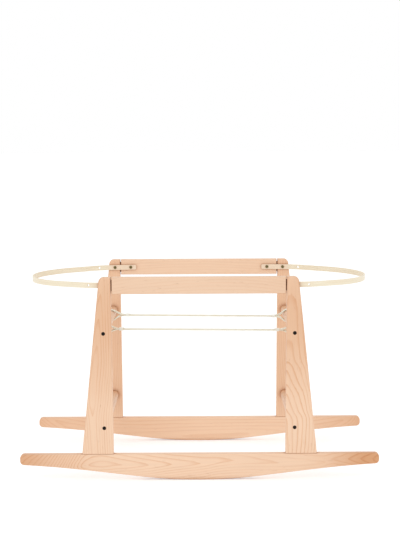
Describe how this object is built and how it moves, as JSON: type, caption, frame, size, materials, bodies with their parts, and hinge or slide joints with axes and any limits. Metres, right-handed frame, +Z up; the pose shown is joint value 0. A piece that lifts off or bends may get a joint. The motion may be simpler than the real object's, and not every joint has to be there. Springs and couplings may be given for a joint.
{
  "type": "rocking bassinet stand",
  "caption": "Wooden rocking stand for a basket bassinet: flat side frames on curved rockers, round cross rails, bentwood end hoops and tied support ropes.",
  "frame": {"origin": "on the floor under the middle of the stand", "axes": "+Z up, the front side frame faces -Y, the rockers run along X"},
  "size_m": [0.9, 0.45, 0.512],
  "materials": {
    "frame_wood": "satin lacquered pale pine",
    "hoop_wood": "pale bentwood, clear lacquer",
    "black_steel": "black oxide",
    "insert_brass": "plain",
    "bronze_screw": "antique bronze",
    "rope_cotton": "twisted natural cotton",
    "whipping_thread": "waxed thread"
  },
  "bodies": {
    "stand": {"rocker_front": "frame_wood", "rocker_back": "frame_wood", "rail_front": "frame_wood", "rail_back": "frame_wood", "leg_front_left": "frame_wood", "leg_front_right": "frame_wood", "leg_back_left": "frame_wood", "leg_back_right": "frame_wood", "cross_dowel_upper_left": "frame_wood", "cross_dowel_upper_right": "frame_wood", "cross_dowel_lower_left": "frame_wood", "cross_dowel_lower_right": "frame_wood", "foot_pins_front": "frame_wood", "foot_pins_back": "frame_wood", "hoop_left": "hoop_wood", "hoop_right": "hoop_wood", "frame_bolts": "black_steel", "threaded_inserts": "insert_brass", "hoop_screws_left": "bronze_screw", "hoop_screws_right": "bronze_screw"},
    "back_rope": {"rope_back": "rope_cotton", "whipping_back_left": "whipping_thread", "whipping_back_right": "whipping_thread"},
    "front_rope": {"rope_front": "rope_cotton", "whipping_front_left": "whipping_thread", "whipping_front_right": "whipping_thread"}
  },
  "joints": [
    {"name": "back_rope_slide", "type": "slide", "parent": "stand", "child": "back_rope", "axis": [0, 1, 0], "range_m": [-0.08, 0.09]},
    {"name": "front_rope_slide", "type": "slide", "parent": "stand", "child": "front_rope", "axis": [0, 1, 0], "range_m": [-0.02, 0.1]}
  ]
}
